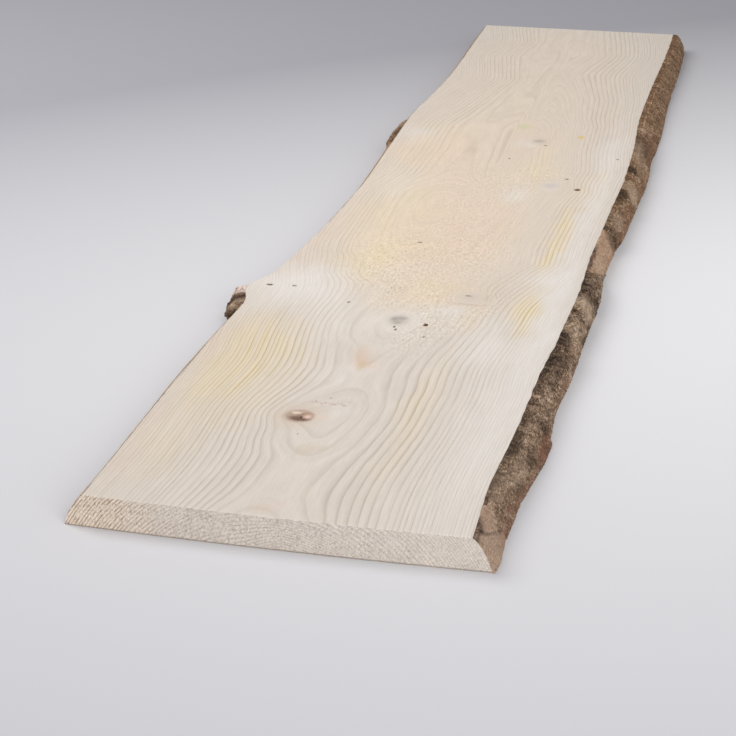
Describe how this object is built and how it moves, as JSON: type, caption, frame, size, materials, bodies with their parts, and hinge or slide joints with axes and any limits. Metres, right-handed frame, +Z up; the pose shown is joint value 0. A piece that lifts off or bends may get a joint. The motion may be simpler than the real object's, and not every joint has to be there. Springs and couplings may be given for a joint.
{
  "type": "waney-edged timber plank",
  "caption": "Long flat softwood plank sawn through a log, with both natural edges left on and bark along one of them.",
  "frame": {"origin": "middle of the whole plank's length and width, on the floor at its underside", "axes": "+Y along the plank away from the end the picture shows, +X towards the barked side, +Z up through its thickness, the narrower sawn face up"},
  "size_m": [0.4295, 2, 0.032],
  "materials": {
    "sawn_wood": "rough sawn, unfinished pale softwood",
    "bark": "dry flaky bark, matte"
  },
  "bodies": {
    "root": {"plank": "sawn_wood", "bark_right": "bark", "bark_left_collar": "bark", "bark_left_far": "bark"}
  },
  "joints": []
}
